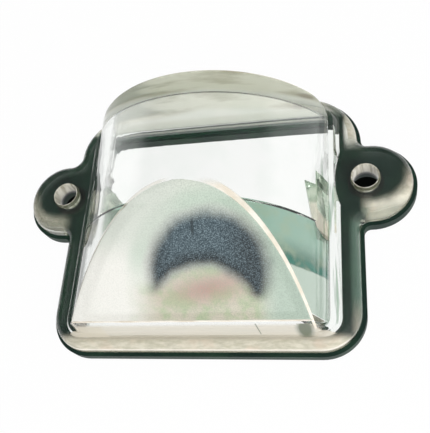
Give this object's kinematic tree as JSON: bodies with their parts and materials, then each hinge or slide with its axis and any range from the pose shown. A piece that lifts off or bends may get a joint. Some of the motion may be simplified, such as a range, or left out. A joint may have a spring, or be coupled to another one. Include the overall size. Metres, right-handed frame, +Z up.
{
  "type": "number plate lamp",
  "caption": "Clear number plate lamp lens with a barrel vault, a frosted sloped window and screw ears, seated on a flat rubber gasket.",
  "frame": {"origin": "centre of the gasket's underside, at the middle of the overall width and length", "axes": "+Z up out of the mounting surface, X through both screw ears, +Y towards the vault's closed back end, away from the sloped window"},
  "size_m": [0.0784, 0.0524, 0.0226],
  "materials": {
    "clear_plastic": "clear moulded plastic, the sloped window frosted",
    "gasket_rubber": "matte"
  },
  "bodies": {
    "root": {"lens": "clear_plastic", "gasket": "gasket_rubber"}
  },
  "joints": []
}
